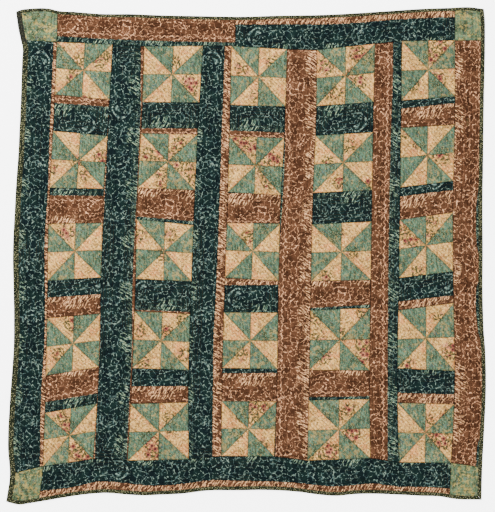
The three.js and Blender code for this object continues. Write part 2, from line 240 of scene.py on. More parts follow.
def sprayed(points):
    """How strongly the larger sprays show at each place, and past one, how rosy they are."""
    shown = [
        strength * np.exp(-(np.hypot(*(points - place).T) / SPRAY_REACH) ** 2)
        for strength, places in ((LEAFY, leafy_places), (ROSY, rosy_places))
        for place in places
    ]
    return np.max(shown, axis=0)


QUILT_PITCH = 14.0
CROSS_STEP = QUILT_PITCH / 4
RUN_STEP = 7.0
SEAM_CUTS = (2.2, 5.5)
CUT_TOLERANCE = 0.001
SHORTEST_EDGE = 0.3
PUCKER_SHIFT = 3
BOLT_LENGTH = 3000
ACROSS_LINES = np.array([math.sqrt(0.5), -math.sqrt(0.5)])
ALONG_LINES = np.array([math.sqrt(0.5), math.sqrt(0.5)])


def sew_triangle(whole, corners, largest_turn):
    """A triangle of cloth, quilted in the slanting lines that run on through the blocks."""
    corners = np.array(corners)
    centre = corners.mean(0)
    reach = max(np.linalg.norm(corner - centre) for corner in corners)
    lines, runs = 2 * math.ceil(reach / CROSS_STEP), 2 * math.ceil(reach / RUN_STEP)
    patch = bmesh.new()
    bmesh.ops.create_grid(patch, x_segments=lines, y_segments=runs, size=1)
    first_line = round(centre @ ACROSS_LINES / CROSS_STEP)
    for vert in patch.verts:
        line = (first_line + round(vert.co.x * lines / 2)) * CROSS_STEP
        run = centre @ ALONG_LINES + vert.co.y * runs / 2 * RUN_STEP
        vert.co = Vector((*(line * ACROSS_LINES + run * ALONG_LINES), 0))
    edges = []
    for start, end in zip(corners, np.roll(corners, -1, axis=0)):
        side = (end - start) / np.linalg.norm(end - start)
        inward = np.array([-side[1], side[0]])
        edges.append((start, inward * np.sign((centre - start) @ inward)))
    for depth in (0, *SEAM_CUTS):
        for start, inward in edges:
            bmesh.ops.bisect_plane(
                patch, geom=patch.verts[:] + patch.edges[:] + patch.faces[:], dist=CUT_TOLERANCE,
                plane_co=(*(start + inward * depth), 0), plane_no=(*-inward, 0), clear_outer=depth == 0,
            )
    bmesh.ops.dissolve_degenerate(patch, dist=SHORTEST_EDGE, edges=patch.edges)
    points = np.array([vert.co[:2] for vert in patch.verts])
    from_seam = np.clip(np.min([(points - start) @ inward for start, inward in edges], axis=0), 0, None)
    across_lines, along = points @ ACROSS_LINES, points @ ALONG_LINES
    to_line = np.abs((across_lines + QUILT_PITCH / 2) % QUILT_PITCH - QUILT_PITCH / 2)
    heights = puffed(points, from_seam, to_line, along + PUCKER_SHIFT * across_lines)
    turn = rng.uniform(-largest_turn, largest_turn)
    spin = np.array([[math.cos(turn), -math.sin(turn)], [math.sin(turn), math.cos(turn)]])
    cloth = (points - centre) @ spin.T + rng.uniform(0, BOLT_LENGTH, 2)
    stitching = np.stack([from_seam, to_line, along], 1)
    lay_patch(whole, patch, in_frame(points, heights), cloth, rng.uniform(), sprayed(points), stitching)


# Blocks whose blades turn the other way, by column and row
turned_blocks = {(0, 0), (0, 1), (0, 2), (0, 3), (0, 4), (2, 1), (2, 2)}


def blades(wanted):
    """The corners of the green or the cream triangles of every block."""
    for column in range(5):
        for row in range(5):
            line, level = 3 * column + 1, 3 * row + 1
            middle = block_point(line + 1, level + 1)
            rim = [(0, 0), (1, 0), (2, 0), (2, 1), (2, 2), (1, 2), (0, 2), (0, 1)]
            rim_points = [block_point(line + i, level + j) for i, j in rim]
            green_first = (column, row) not in turned_blocks
            for k in range(8):
                green = (k % 2 == 0) == green_first
                if green == (wanted == "green"):
                    yield middle, rim_points[k], rim_points[(k + 1) % 8]


TURNED_EDGE = math.radians(45)


def finished(name, whole):
    """A finished cloth piece from its bmesh, shaded smooth but for its turned edges."""
    mesh = bpy.data.meshes.new(name)
    whole.to_mesh(mesh)
    whole.free()
    mesh.shade_smooth()
    mesh.set_sharp_from_angle(angle=TURNED_EDGE)
    piece = bpy.data.objects.new(name, mesh)
    bpy.context.scene.collection.objects.link(piece)
    return piece


THREAD_PITCH = 0.00095
STITCH_PITCH = 0.0062
STITCH_SHARE = 0.58
THREAD_WIDTH = 0.00045


def dyed(red, green, blue):
    """A dye's own colour from its eight-bit values."""
    values = [v / 255 for v in (red, green, blue)]
    return tuple(v / 12.92 if v <= 0.04045 else ((v + 0.055) / 1.055) ** 2.4 for v in values) + (1.0,)


class Dye:
    """Lays out the nodes of one cotton print, from its places on the cloth to its shader."""

    def __init__(self, name):
        self.material = bpy.data.materials.new(name)
        self.material.use_nodes = True
        self.tree = self.material.node_tree
        self.tree.nodes.clear()
        self.shader = self.tree.nodes.new("ShaderNodeBsdfPrincipled")
        self.shader.inputs["Roughness"].default_value = 0.95
        self.shader.inputs["Specular IOR Level"].default_value = 0.02
        self.shader.inputs["Sheen Weight"].default_value = 0.02
        output = self.tree.nodes.new("ShaderNodeOutputMaterial")
        self.tree.links.new(self.shader.outputs[0], output.inputs[0])

    def feed(self, node, inputs):
        """Links or sets a node's inputs, by name or number."""
        for key, value in inputs.items():
            socket = node.inputs[key]
            if isinstance(value, bpy.types.NodeSocket):
                self.tree.links.new(value, socket)
            else:
                socket.default_value = value

    def node(self, kind, inputs, settings=()):
        """A new node of one kind, with its inputs and its own settings."""
        node = self.tree.nodes.new(f"ShaderNode{kind}")
        for name, value in dict(settings).items():
            setattr(node, name, value)
        self.feed(node, inputs)
        return node

    def cloth(self):
        """The place on the cloth, in metres, before it was cut."""
        return self.node("UVMap", {}, {"uv_map": "cloth"}).outputs[0]

    def woven(self, name, output="Fac"):
        """A value that the piece's own vertices carry."""
        return self.node("Attribute", {}, {"attribute_name": name}).outputs[output]

    def apart(self, vector):
        return self.node("SeparateXYZ", {0: vector}).outputs

    def math(self, operation, *values):
        return self.node("Math", dict(enumerate(values)), {"operation": operation}).outputs[0]

    def times(self, *values):
        product = values[0]
        for value in values[1:]:
            product = self.math("MULTIPLY", product, value)
        return product

    def moved(self, operation, *vectors):
        return self.node("VectorMath", dict(enumerate(vectors)), {"operation": operation}).outputs[0]

    def turned(self, vector, angle, stretch=(1, 1)):
        """Places on the cloth, stretched and then turned by an angle."""
        inputs = {"Vector": vector, "Rotation": (0, 0, angle), "Scale": (*stretch, 1)}
        return self.node("Mapping", inputs).outputs[0]

    def grain(self, vector, scale, detail=2.0, roughness=0.5):
        """An even soft noise over the cloth."""
        inputs = {"Vector": vector, "Scale": scale, "Detail": detail, "Roughness": roughness}
        return self.node("TexNoise", inputs, {"noise_dimensions": "2D"})

    def noise(self, *values):
        return self.grain(*values).outputs["Fac"]

    def warped(self, vector, scale, amount):
        """Places on the cloth, each pushed aside by up to about half an amount."""
        pushed = self.moved("SUBTRACT", self.grain(vector, scale).outputs["Color"], (0.5, 0.5, 0.5))
        return self.moved("ADD", vector, self.moved("MULTIPLY", pushed, (amount, amount, 0)))

    def band(self, value, low, high, to_low=0.0, to_high=1.0):
        """A value brought from one range to another, with soft ends."""
        inputs = {"Value": value, "From Min": low, "From Max": high, "To Min": to_low, "To Max": to_high}
        return self.node("MapRange", inputs, {"interpolation_type": "SMOOTHSTEP"}).outputs[0]

    def over(self, under, colour, amount):
        """A colour printed over another by an amount."""
        return self.node("Mix", {0: amount, 6: under, 7: colour}, {"data_type": "RGBA"}).outputs[2]

    def scaled(self, colour, value):
        """A colour made darker or lighter by a value."""
        settings = {"data_type": "RGBA", "blend_type": "MULTIPLY"}
        return self.node("Mix", {0: 1.0, 6: colour, 7: value}, settings).outputs[2]

    def curls(self, cloth, scale, width):
        """Thin wandering lines, spread evenly: the borders between scattered places."""
        inputs = {"Vector": cloth, "Scale": scale, "Randomness": 1.0}
        settings = {"voronoi_dimensions": "2D", "feature": "DISTANCE_TO_EDGE"}
        gap = self.node("TexVoronoi", inputs, settings).outputs["Distance"]
        return self.band(gap, width * scale, 0.4 * width * scale)

    def cells(self, cloth, scale):
        """Scattered places: the way from the nearest one, and a random value that it has."""
        inputs = {"Vector": cloth, "Scale": scale, "Randomness": 0.9}
        cell = self.node("TexVoronoi", inputs, {"voronoi_dimensions": "2D"})
        return self.moved("SUBTRACT", cloth, cell.outputs["Position"]), self.apart(cell.outputs["Color"])

    def leaves(self, cloth, scale, length, width, share):
        """Small pointed leaves that lie every way, at a share of the scattered places."""
        local, chance = self.cells(cloth, scale)
        angle = self.times(chance[0], 2 * math.pi)
        lying = self.node("VectorRotate", {"Vector": local, "Angle": angle}, {"rotation_type": "Z_AXIS"})
        return self.pointed(lying.outputs[0], length, width, self.math("LESS_THAN", chance[1], share))

    def strokes(self, cloth, scale, length, width, share):
        """Thin pointed strokes that lie side by side, at a share of the scattered places."""
        local, chance = self.cells(cloth, scale)
        return self.pointed(local, length, width, self.math("LESS_THAN", chance[1], share))

    def pointed(self, local, length, width, shown):
        """A form that lies along its own x and runs out in a point at both ends."""
        x, y, _ = self.apart(local)
        tip = self.math("POWER", self.math("DIVIDE", self.math("ABSOLUTE", x), length), 2)
        shape = self.math("ADD", self.math("DIVIDE", self.math("ABSOLUTE", y), width), tip)
        return self.times(self.band(shape, 1.1, 0.75), shown)

    def blooms(self, cloth, scale, radius, share):
        """Small flowers of five petals, and their hearts, at a share of the scattered places."""
        local, chance = self.cells(cloth, scale)
        x, y, _ = self.apart(local)
        reach = self.math("SQRT", self.math("ADD", self.times(x, x), self.times(y, y)))
        angle = self.math("ADD", self.times(self.math("ARCTAN2", y, x), 5.0), self.times(chance[0], 6.0))
        edge = self.math("ADD", self.times(self.math("COSINE", angle), 0.22 * radius), 0.78 * radius)
        shown = self.math("LESS_THAN", chance[1], share)
        petals = self.times(self.band(self.math("DIVIDE", reach, edge), 1.08, 0.85), shown)
        return petals, self.times(self.band(reach, 0.5 * radius, 0.25 * radius), shown), chance[2]

    def finish(self, colour, cloth, seam_shade=0.55, thread=0.55, to_line=None):
        """Weave, stitches, puckers and fading, which every cotton here has, on its print, with painted shade
        at the seams and along the quilting grooves.
        """
        across, along, _ = self.apart(cloth)
        warp = self.math("SINE", self.times(across, 2 * math.pi / THREAD_PITCH))
        weft = self.math("SINE", self.times(along, 2 * math.pi / THREAD_PITCH))
        weave = self.times(warp, weft)
        slub = self.noise(self.turned(cloth, 0, (9, 1)), 90.0)
        from_seam, line_gap, run = self.apart(self.woven("stitching", "Vector"))
        line_gap = line_gap if to_line is None else to_line
        dash = self.math("FRACT", self.math("DIVIDE", run, STITCH_PITCH))
        dash = self.math("LESS_THAN", dash, STITCH_SHARE)
        stitch = self.times(self.math("LESS_THAN", line_gap, THREAD_WIDTH), dash)
        drawn = self.band(self.noise(cloth, 120.0, 1.0), 0.4, 0.6)
        drawn = self.math("ADD", self.times(drawn, 0.8), 0.2)
        groove = self.times(self.band(line_gap, 0.0032, 0.0008), drawn)
        # Painted shade: the cloth is darkened within a few millimetres of each seam, where the padding
        # sinks.
        painted_seam_shade = self.band(from_seam, 0.0005, 0.0045, seam_shade, 1.0)
        # Painted shade: the cloth is darkened along the sunk quilting lines, in dashes where it puckers.
        painted_groove_shade = self.band(groove, 0.0, 1.0, 1.0, 0.42)
        fading = self.band(self.noise(cloth, 13.0, 3.0), 0.3, 0.72, 0.84, 1.14)
        slub_tone = self.band(slub, 0.3, 0.7, 0.84, 1.12)
        weave_tone = self.band(weave, -1.0, 1.0, 0.94, 1.04)
        # The painted seam and groove shade, times the cloth's own fading, slubs and weave.
        shade = self.times(painted_seam_shade, painted_groove_shade, fading, slub_tone, weave_tone)
        thread_colour = dyed(161, 140, 94)
        colour = self.over(self.scaled(colour, shade), thread_colour, self.times(stitch, thread))
        rise = self.math("ADD", self.times(weave, 0.00006), self.times(slub, 0.0003))
        rise = self.math("SUBTRACT", rise, self.times(groove, 0.0006))
        bump = self.node("Bump", {"Height": rise, "Strength": 0.4, "Distance": 1.0})
        self.feed(self.shader, {"Base Color": colour, "Normal": bump.outputs[0]})
        return self.material


def sage_print(dye, cloth, ground, blotch, blotch_level, stretch=5):
    """A ground cloth streaked along its warp, with pale ochre blotches and leafy specks."""
    blue_fleck = dyed(60, 76, 82)
    sprig_green = dyed(47, 56, 38)
    leaf_green = dyed(43, 51, 32)
    pin_ochre = dyed(150, 140, 97)
    streaks = dye.noise(dye.turned(cloth, 0, (stretch, 1)), 26.0, 3.0, 0.65)
    colour = dye.scaled(ground, dye.band(streaks, 0.36, 0.62, 0.5, 1.42))
    lift = dye.times(dye.woven("tone"), 0.07)
    patchy = dye.math("ADD", dye.noise(dye.turned(cloth, 0.5), 50.0, 3.0, 0.7), lift)
    patchy = dye.math("ADD", patchy, dye.times(dye.noise(dye.turned(cloth, 1.2), 12.0), 0.35))
    colour = dye.over(colour, blotch, dye.times(dye.band(patchy, blotch_level, blotch_level + 0.1), 0.85))
    blue = dye.band(dye.noise(dye.turned(cloth, 2.2), 48.0), 0.6, 0.68)
    colour = dye.over(colour, blue_fleck, dye.times(blue, 0.4))
    spray = dye.woven("spray")
    sprig = dye.band(dye.noise(dye.turned(cloth, 0.9), 70.0, 2.0, 0.7), 0.57, 0.63)
    more = dye.band(spray, 0.1, 0.6, 0.35, 1.0)
    colour = dye.over(colour, sprig_green, dye.times(sprig, more, 0.85))
    leaves = dye.times(dye.leaves(cloth, 75.0, 0.008, 0.0032, 0.8), dye.band(spray, 0.3, 0.6))
    colour = dye.over(colour, leaf_green, dye.times(leaves, 0.8))
    pin = dye.leaves(dye.turned(cloth, 1.7), 130.0, 0.0022, 0.0018, 0.45)
    return dye.over(colour, pin_ochre, dye.times(pin, 0.6))


GREEN_TURN = 0.06
whole = bmesh.new()
for corners in blades("green"):
    sew_triangle(whole, corners, GREEN_TURN)
green_triangles = finished("green_triangles", whole)
dye = Dye("sage_print")
cloth = dye.cloth()
sage_green = dyed(67, 90, 71)
ochre_blotch = dyed(132, 116, 72)
sage = sage_print(dye, cloth, sage_green, ochre_blotch, 0.76)
green_triangles.data.materials.append(dye.finish(sage, cloth))
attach(green_triangles, "root")
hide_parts("quilt_panel")

# Cream pinwheel triangles
# Cream cotton triangles between the green ones, with a print of flower sprays: rose-red
# blooms, dark olive leaves and thin stems. Sewn edge to edge with the green triangles.


def flowered_print(dye, cloth):
    """A cream ground with small scattered sprigs, and larger sprays where they show."""
    cream = dyed(202, 154, 82)
    worn_cream = dyed(140, 102, 56)
    warm_cream = dyed(192, 124, 70)
    pale_cream = dyed(230, 190, 126)
    speck_brown = dyed(90, 72, 42)
    sprig_olive = dyed(84, 72, 42)
    stem_olive = dyed(57, 51, 33)
    leaf_olive = dyed(46, 52, 33)
    rose_wash = dyed(160, 104, 80)
    deep_rose = dyed(122, 60, 52)
    light_rose = dyed(160, 100, 78)
    heart_red = dyed(68, 30, 30)
    worn = dye.band(dye.noise(cloth, 55.0, 4.0, 0.7), 0.44, 0.64)
    ground = dye.over(cream, worn_cream, worn)
    flushed = dye.band(dye.noise(cloth, 18.0), 0.48, 0.66)
    ground = dye.over(ground, warm_cream, dye.times(flushed, 0.8))
    spray = dye.woven("spray")
    specks = dye.band(dye.noise(dye.turned(cloth, 2.0), 140.0, 1.0), 0.54, 0.66)
    ground = dye.over(ground, speck_brown, dye.times(specks, 0.42))
    pale = dye.band(dye.noise(dye.turned(cloth, 1.0), 120.0, 1.0), 0.54, 0.64)
    ground = dye.over(ground, pale_cream, dye.times(pale, 0.6))
    tiny = dye.leaves(cloth, 85.0, 0.0065, 0.0024, 0.35)
    colour = dye.over(ground, sprig_olive, dye.times(tiny, 0.8))
    rosy = dye.band(dye.noise(dye.turned(cloth, 0.4), 42.0), 0.56, 0.66)
    colour = dye.over(colour, rose_wash, dye.times(rosy, dye.band(spray, 0.1, 0.6, 0.25, 0.8)))
    stems = dye.curls(dye.warped(dye.turned(cloth, 0.7), 40.0, 0.012), 30.0, 0.0019)
    stems = dye.times(stems, dye.band(spray, 0.2, 0.45))
    colour = dye.over(colour, stem_olive, dye.times(stems, 0.85))
    leaves = dye.leaves(cloth, 64.0, 0.0115, 0.0044, 0.9)
    leaves = dye.times(leaves, dye.band(spray, 0.28, 0.5))
    colour = dye.over(colour, leaf_olive, dye.times(leaves, 0.92))
    petals, hearts, chance = dye.blooms(dye.turned(cloth, 1.3), 36.0, 0.0145, 0.9)
    now_and_then = dye.band(dye.math("SUBTRACT", spray, chance), 0.5, 0.6)
    shown = dye.math("MAXIMUM", dye.band(spray, 0.95, 1.2), now_and_then)
    petal_colour = dye.over(deep_rose, light_rose, chance)
    colour = dye.over(colour, petal_colour, dye.times(petals, shown, 0.92))
    return dye.over(colour, heart_red, dye.times(hearts, shown))


CREAM_TURN = math.pi
whole = bmesh.new()
for corners in blades("cream"):
    sew_triangle(whole, corners, CREAM_TURN)
cream_triangles = finished("cream_triangles", whole)
dye = Dye("flowered_print")
cloth = dye.cloth()
cream_triangles.data.materials.append(dye.finish(flowered_print(dye, cloth), cloth))
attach(cream_triangles, "root")
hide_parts("quilt_panel")

# Upright sashes
# Four full-height strips between the columns of blocks, cut from a cotton printed with wide
# dark teal and rust brown stripes, so each shows the line where two stripes meet. Thin
# curls, scallops and tufts of slanting strokes are printed over both stripes.
DARK_WIDTH = 144.0
BROWN_WIDTH = 147.0
REPEAT = 232.0
BOLT_START = 10 * REPEAT
SCALLOP_LENGTH = 0.029
SCALLOP_DEPTH = 0.004
SCALLOP_LINE = 0.127
binding_width = {"head": 15.0, "right": 19.0, "foot": 18.0, "left": 25.0}
UNDER_BINDING = 3.0
# How far the outer end of each border seam stands along the edge from its inner end
corner_drift = {
    ("head", 1): 2, ("head", LAST_LINE): 0, ("foot", 1): -18, ("foot", LAST_LINE): -5,
    ("left", 1): -9, ("left", LAST_LINE): 31, ("right", 1): 0, ("right", LAST_LINE): 18,
}


def quilt_corner(upright, level, upright_inset, level_inset):
    """Where an upright and a level side of the quilt meet, each moved inwards."""
    inward = {"left": 1, "head": 1, "right": -1, "foot": -1}
    down = 0.0
    for _ in range(8):
        across = edge_at[upright](down) + inward[upright] * upright_inset
        down = edge_at[level](across) + inward[level] * level_inset
    return np.array([across, down])


def side_point(side, place, inset):
    """A point of one side of the quilt, moved inwards."""
    if side in ("head", "foot"):
        return np.stack([place, edge_at[side](place) + (inset if side == "head" else -inset)], -1)
    return np.stack([edge_at[side](place) + (inset if side == "left" else -inset), place], -1)


tucked = {side: width - UNDER_BINDING for side, width in binding_width.items()}
layout = np.zeros((END_LINE + 1, END_LINE + 1, 2))
for line in range(1, END_LINE):
    for row in range(1, END_LINE):
        layout[line, row] = block_point(line, row)
for upright, line in (("left", 0), ("right", END_LINE)):
    for level, row in (("head", 0), ("foot", END_LINE)):
        layout[line, row] = quilt_corner(upright, level, tucked[upright], tucked[level])
for line in range(1, END_LINE):
    for level, row, beside in (("head", 0, 1), ("foot", END_LINE, LAST_LINE)):
        place = layout[line, beside][0] + corner_drift.get((level, line), 0)
        layout[line, row] = side_point(level, place, tucked[level])
    for upright, end, beside in (("left", 0, 1), ("right", END_LINE, LAST_LINE)):
        place = layout[beside, line][1] + corner_drift.get((upright, line), 0)
        layout[end, line] = side_point(upright, place, tucked[upright])


def layout_place(a, d):
    """The place of layout lines a and d, also between two lines, with the outer sides curved."""
    i = np.clip(np.floor(a).astype(int), 0, END_LINE - 1)
    j = np.clip(np.floor(d).astype(int), 0, END_LINE - 1)
    u, v = (a - i)[:, None], (d - j)[:, None]
    p00, p10, p01, p11 = layout[i, j], layout[i + 1, j], layout[i, j + 1], layout[i + 1, j + 1]
    head, foot = p00 + (p10 - p00) * u, p01 + (p11 - p01) * u
    left, right = p00 + (p01 - p00) * v, p10 + (p11 - p10) * v
    place = head + (foot - head) * v
    curved = {
        "head": (j == 0, head, 1 - v), "foot": (j == END_LINE - 1, foot, v),
        "left": (i == 0, left, 1 - u), "right": (i == END_LINE - 1, right, u),
    }
    for side, (touches, straight, share) in curved.items():
        coordinate = 0 if side in ("head", "foot") else 1
        bowed = side_point(side, straight[:, coordinate], tucked[side])
        place += np.where(touches[:, None], (bowed - straight) * share, 0)
    return place


STRIP_RINGS = (0, 2.2, 5.5, 9, 13, 16, 19.5, 23, 26, 29, 32.5, 36, 39, 42, 45.5, 49, 52, 55, 58.5, 62)
STRIP_LINES = (13.0, 26.0, 39.0, 52.0)
PACE = 6.5
CLEAR_MIDDLE = 2
SPINE_SAMPLES = 200
JUST_INSIDE = 1e-9


def ruled(length):
    """Distances along a length, close together beside both ends and at the quilting lines."""
    near = [ring for ring in STRIP_RINGS if ring < length / 2 - CLEAR_MIDDLE]
    between = length - 2 * near[-1]
    steps = max(1, round(between / PACE))
    inner = [near[-1] + between * step / steps for step in range(1, steps)]
    return np.array(near + inner + [length - ring for ring in reversed(near)])


def sew_strip(whole, a_span, d_span, on_cloth):
    """A strip of cloth between four layout lines, in steps that follow its seams."""
    (a0, a1), (d0, d1) = a_span, d_span
    samples = np.linspace(0, 1, SPINE_SAMPLES)
    middle_a, middle_d = np.full(SPINE_SAMPLES, (a0 + a1) / 2), np.full(SPINE_SAMPLES, (d0 + d1) / 2)
    spine = {
        "across": layout_place(a0 + (a1 - a0) * samples, middle_d),
        "down": layout_place(middle_a, d0 + (d1 - d0) * samples),
    }
    run = {
        way: np.concatenate([[0], np.cumsum(np.linalg.norm(np.diff(line, axis=0), axis=1))])
        for way, line in spine.items()
    }
    ruled_a, ruled_d = ruled(run["across"][-1]), ruled(run["down"][-1])
    patch = bmesh.new()
    bmesh.ops.create_grid(patch, x_segments=len(ruled_a) - 1, y_segments=len(ruled_d) - 1, size=1)
    steps = np.array([vert.co[:2] for vert in patch.verts])
    column = np.rint((steps[:, 0] + 1) / 2 * (len(ruled_a) - 1)).astype(int)
    row = np.rint((steps[:, 1] + 1) / 2 * (len(ruled_d) - 1)).astype(int)
    a_end, d_end = np.full(len(steps), a1 - JUST_INSIDE), np.full(len(steps), d1 - JUST_INSIDE)
    a = np.minimum(a0 + (a1 - a0) * np.interp(ruled_a[column], run["across"], samples), a_end)
    d = np.minimum(d0 + (d1 - d0) * np.interp(ruled_d[row], run["down"], samples), d_end)
    points = layout_place(a, d)
    a_start, d_start = np.full_like(a, a0), np.full_like(d, d0)
    seam_ends = [(a_start, d), (a_end, d), (a, d_start), (a, d_end)]
    gaps = np.stack([np.linalg.norm(points - layout_place(*end), axis=1) for end in seam_ends])
    from_seam = gaps.min(0)
    to_line = np.abs(np.subtract.outer(STRIP_LINES, from_seam)).min(0)
    along = np.where(gaps.argmin(0) < 2, points[:, 1], points[:, 0])
    heights = puffed(points, from_seam, to_line, along)
    stitching = np.stack([from_seam, to_line, along], 1)
    no_spray = np.zeros(len(a))
    lay_patch(whole, patch, in_frame(points, heights), on_cloth(points), rng.uniform(), no_spray, stitching)


def cut_from_stripes(line, upright, dark_first, tufted, tuft):
    """Where a strip lies on the striped cloth, from the line where its two stripes meet.

    dark_first: the dark stripe comes first, read from the left or the head.
    tufted: the brown stripe's tufts stand at that line, and otherwise the dark one's.
    tuft: how far along the strip a tuft lies.
    """
    start = DARK_WIDTH if tufted else 0.0
    turned = 1 if dark_first == tufted else -1

    def on_cloth(points):
        across, down = points[:, 0], points[:, 1]
        if upright:
            aside, along = across - line(down), down - tuft
        else:
            aside, along = down - line(across), tuft - across
        return np.stack([start + turned * aside, turned * along + BOLT_START], 1)

    return on_cloth


def striped_print(dye, cloth):
    """Dark and brown stripes with thin curls, scallops and tufts of slanting strokes."""
    deep_teal = dyed(10, 20, 22)
    teal = dyed(15, 29, 27)
    deep_rust = dyed(58, 35, 22)
    rust = dyed(78, 50, 33)
    dim_teal_curl = dyed(62, 82, 80)
    pale_teal_curl = dyed(112, 130, 116)
    dim_rust_curl = dyed(134, 94, 70)
    pale_rust_curl = dyed(204, 152, 112)
    dim_teal_stroke = dyed(68, 90, 76)
    pale_teal_stroke = dyed(128, 144, 114)
    dim_rust_stroke = dyed(168, 122, 86)
    pale_rust_stroke = dyed(216, 168, 118)
    rings = ({"radius": 0.042, "rarer": 0.42}, {"radius": 0.021, "rarer": 0.48})
    across, along, _ = dye.apart(cloth)
    drift = dye.math("SUBTRACT", dye.noise(cloth, 60.0), 0.5)
    wavy = dye.math("ADD", across, dye.times(drift, 0.006))
    place = dye.math("FLOORED_MODULO", wavy, (DARK_WIDTH + BROWN_WIDTH) * MM)
    brown = dye.math("GREATER_THAN", place, DARK_WIDTH * MM)
    inside = dye.math("SUBTRACT", place, dye.times(brown, DARK_WIDTH * MM))
    tone = dye.noise(dye.turned(cloth, 0.3), 24.0, 4.0)
    mixed = dye.band(tone, 0.38, 0.62)
    dark_ground = dye.over(deep_teal, teal, mixed)
    ground = dye.over(dark_ground, dye.over(deep_rust, rust, mixed), brown)

    swayed = dye.warped(dye.warped(cloth, 62.0, 0.013), 24.0, 0.016)
    kept = dye.math("ADD", dye.noise(dye.turned(cloth, 1.1), 75.0), dye.times(brown, 0.015))
    curls = dye.times(dye.curls(swayed, 36.0, 0.0015), dye.band(kept, 0.46, 0.52))
    others = dye.noise(dye.turned(cloth, 2.0), 70.0)
    crossing = dye.curls(dye.turned(swayed, 2.1), 30.0, 0.0014)
    curls = dye.math("MAXIMUM", curls, dye.times(crossing, dye.band(others, 0.53, 0.58)))
    run = dye.math("FLOORED_MODULO", along, REPEAT * MM)
    aside = dye.math("SUBTRACT", inside, dye.band(brown, 0.0, 1.0, 0.086, 0.1))
    beyond = dye.math("SUBTRACT", run, 0.55 * REPEAT * MM)
    reach = dye.math("SQRT", dye.math("ADD", dye.times(aside, aside), dye.times(beyond, beyond)))
    reach = dye.math("ADD", reach, dye.times(dye.math("SUBTRACT", dye.noise(cloth, 95.0), 0.5), 0.014))
    for ring in rings:
        line = dye.math("ABSOLUTE", dye.math("SUBTRACT", reach, ring["radius"]))
        line = dye.times(
            dye.band(line, 0.0028, 0.001), dye.math("LESS_THAN", beyond, 0.012),
            dye.band(others, ring["rarer"], ring["rarer"] + 0.05),
        )
        curls = dye.math("MAXIMUM", curls, line)
    scallop = dye.math("SINE", dye.times(along, 2 * math.pi / SCALLOP_LENGTH))
    scallop = dye.math("ADD", inside, dye.times(scallop, SCALLOP_DEPTH))
    scallop = dye.math("ABSOLUTE", dye.math("SUBTRACT", scallop, SCALLOP_LINE))
    scallop = dye.times(dye.band(scallop, 0.0022, 0.0008), brown)
    curls = dye.math("MAXIMUM", curls, scallop)
    glow = dye.band(dye.noise(dye.turned(cloth, 1.9), 80.0), 0.4, 0.62)
    dark_curl = dye.over(dim_teal_curl, pale_teal_curl, glow)
    curl_colour = dye.over(dark_curl, dye.over(dim_rust_curl, pale_rust_curl, glow), brown)
    colour = dye.over(ground, curl_colour, curls)

    half = REPEAT * MM / 2
    centred = dye.math("FLOORED_MODULO", dye.math("ADD", along, half), 2 * half)
    centred = dye.math("SUBTRACT", centred, half)
    patchy = dye.math("ADD", dye.math("ABSOLUTE", centred), dye.times(tone, 0.04))
    patchy = dye.math("SUBTRACT", patchy, dye.times(brown, 0.02))
    tuft = dye.times(dye.band(patchy, 0.07, 0.05), dye.band(inside, 0.062, 0.046))
    fringe = dye.times(dye.band(inside, 0.032, 0.016), dye.band(brown, 0.0, 1.0, 0.3, 1.0))
    slanting = dye.turned(dye.turned(dye.warped(cloth, 24.0, 0.02), -0.5), 0, (0.28, 1))
    strokes = dye.strokes(slanting, 112.0, 0.0046, 0.0023, 0.9)
    strokes = dye.times(strokes, dye.math("MAXIMUM", tuft, fringe))
    dark_stroke = dye.over(dim_teal_stroke, pale_teal_stroke, glow)
    stroke_colour = dye.over(dark_stroke, dye.over(dim_rust_stroke, pale_rust_stroke, glow), brown)
    return dye.over(colour, stroke_colour, strokes)


upright_sashes = [
    {"column": 1, "dark_first": True, "tufted": False, "tuft": 351,
     "line": [(463, 607), (824, 590), (1094, 576), (1274, 570), (1500, 568), (1770, 556), (1994, 545)]},
    {"column": 2, "dark_first": True, "tufted": True, "tuft": 351,
     "line": [(193, 985), (553, 972), (824, 963), (1094, 954), (1318, 944), (1500, 934), (1680, 932),
              (1994, 929)]},
    {"column": 3, "dark_first": True, "tufted": False, "tuft": 247,
     "line": [(644, 1255), (824, 1248), (1004, 1236), (1140, 1229), (1544, 1220), (1994, 1212)]},
    {"column": 4, "dark_first": False, "tufted": False, "tuft": 351,
     "line": [(300, 1741), (644, 1730), (1004, 1723), (1318, 1719), (1634, 1717), (1904, 1717)]},
]
# The painted seam shade is deeper on the striped strips than on the triangles.
STRIP_SEAM_SHADE = 0.3
STRIP_THREAD = 0.12
whole = bmesh.new()
for sash in upright_sashes:
    line = smooth(sash["line"])
    on_cloth = cut_from_stripes(line, True, sash["dark_first"], sash["tufted"], sash["tuft"])
    first = 3 * sash["column"]
    sew_strip(whole, (first, first + 1), (1, LAST_LINE), on_cloth)
upright_strips = finished("upright_sashes", whole)
dye = Dye("striped_print")
cloth = dye.cloth()
stripe_cotton = dye.finish(striped_print(dye, cloth), cloth, STRIP_SEAM_SHADE, STRIP_THREAD)
upright_strips.data.materials.append(stripe_cotton)
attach(upright_strips, "root")
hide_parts("quilt_panel")

